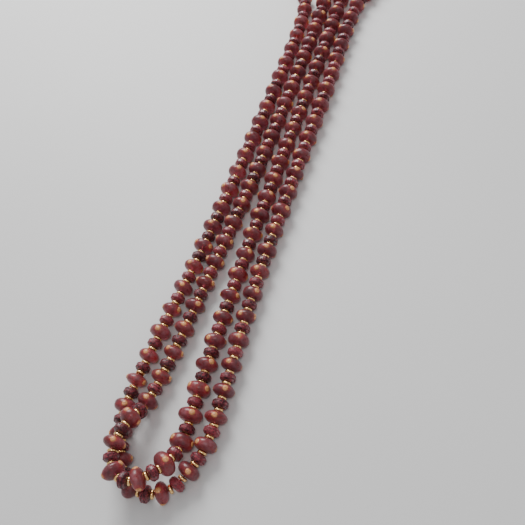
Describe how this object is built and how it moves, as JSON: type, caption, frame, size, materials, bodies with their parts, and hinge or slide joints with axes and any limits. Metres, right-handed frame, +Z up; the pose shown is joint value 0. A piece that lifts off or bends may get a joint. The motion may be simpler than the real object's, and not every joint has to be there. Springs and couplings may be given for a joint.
{
  "type": "beaded rope necklace",
  "caption": "Long endless rope necklace of frosted glass eye beads and dark faceted beads with small spacers, lying folded in half.",
  "frame": {"origin": "middle of the lying necklace's box, on the surface that it lies on", "axes": "+Y along the four runs, from the crossing bends towards the two loops; +Z up from the surface; +X to the right"},
  "size_m": [0.0634, 0.3414, 0.0174],
  "materials": {
    "eye_glass": "frosted translucent red glass with small raised ochre eyes",
    "faceted_glass": "glossy dark garnet glass, finely faceted",
    "spacer_metal": "polished gold-coloured metal",
    "thread": "waxed beading thread"
  },
  "bodies": {
    "root": {"outer_strand": "eye_glass", "inner_strand": "eye_glass"}
  },
  "joints": []
}
